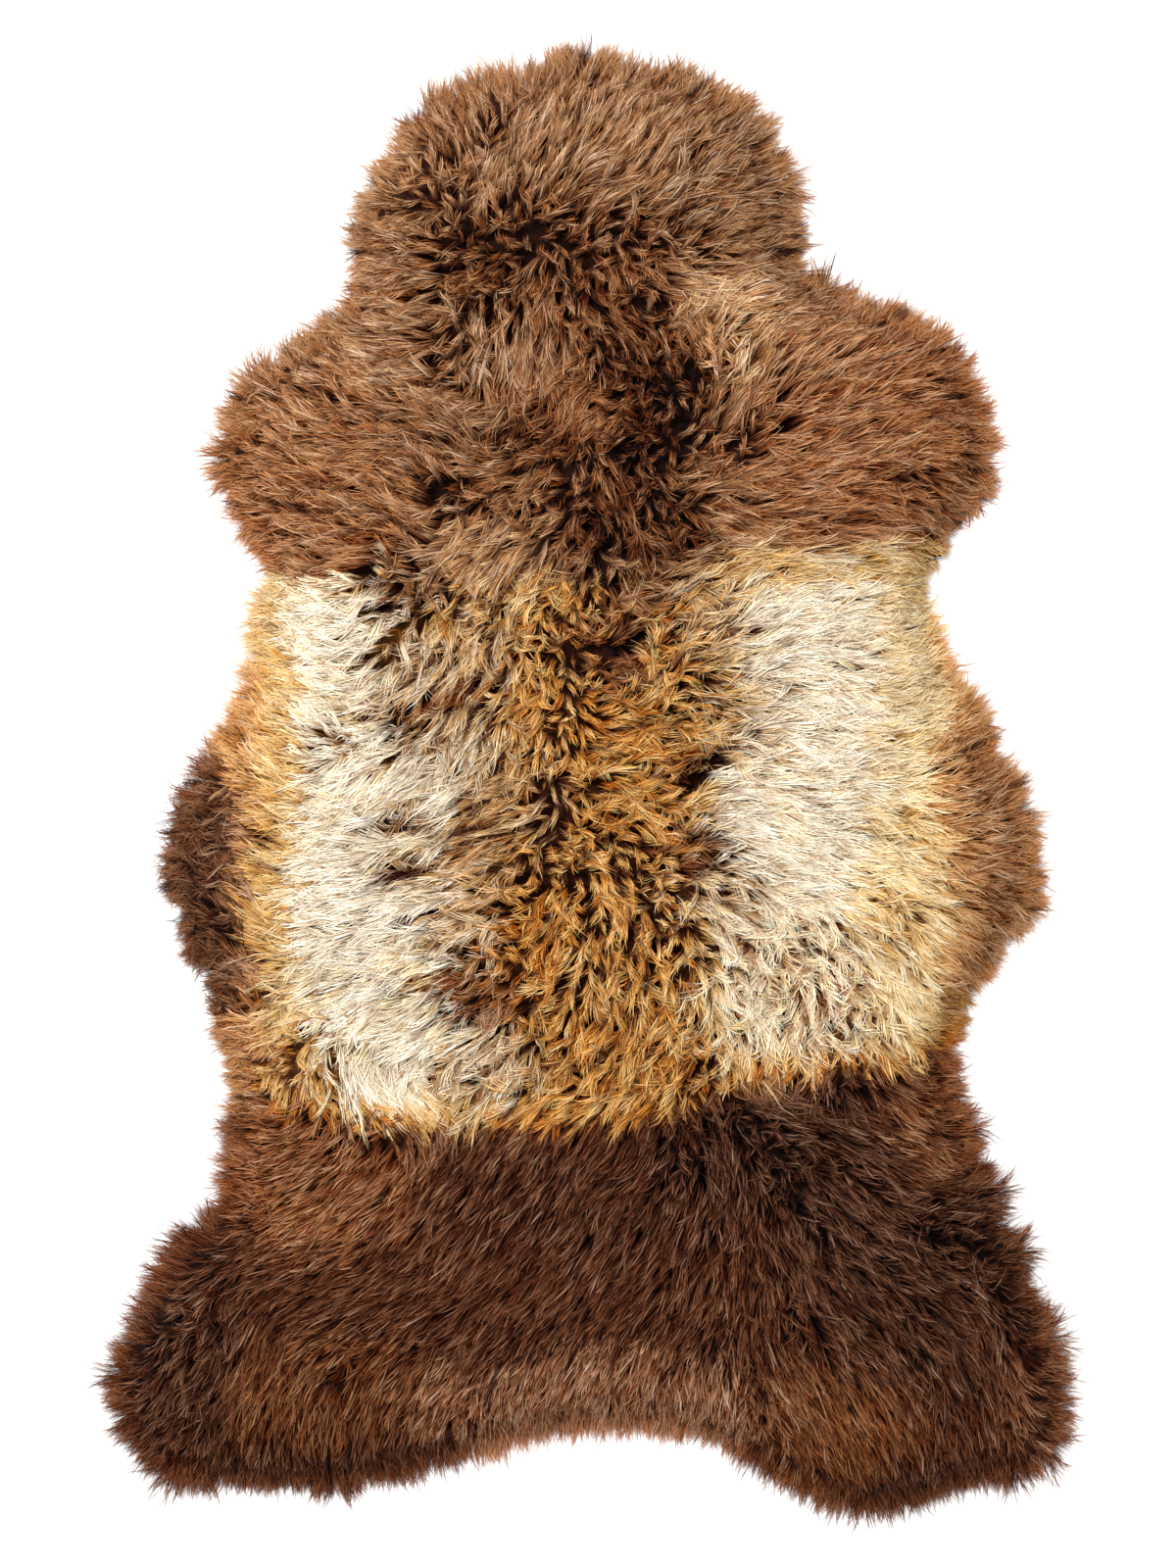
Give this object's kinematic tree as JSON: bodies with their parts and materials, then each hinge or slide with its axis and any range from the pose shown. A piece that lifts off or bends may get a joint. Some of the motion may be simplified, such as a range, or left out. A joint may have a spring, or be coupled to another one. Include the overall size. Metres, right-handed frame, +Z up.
{
  "type": "sheepskin rug",
  "caption": "Natural sheepskin rug lying flat: a thin tanned hide under one thick, lumpy fleece with loose locks round its rim.",
  "frame": {"origin": "middle of the rug's outline, on the underside of the hide", "axes": "+Y towards the neck, along the back; +X across, to the right with the wool up and the neck ahead; +Z up out of the wool"},
  "size_m": [0.704, 1.0522, 0.0531],
  "materials": {
    "skin": "suede side of a tanned skin, matt",
    "wool": "long soft wool, matt with a light sheen"
  },
  "bodies": {
    "root": {"hide": "skin", "fleece": "wool"}
  },
  "joints": []
}
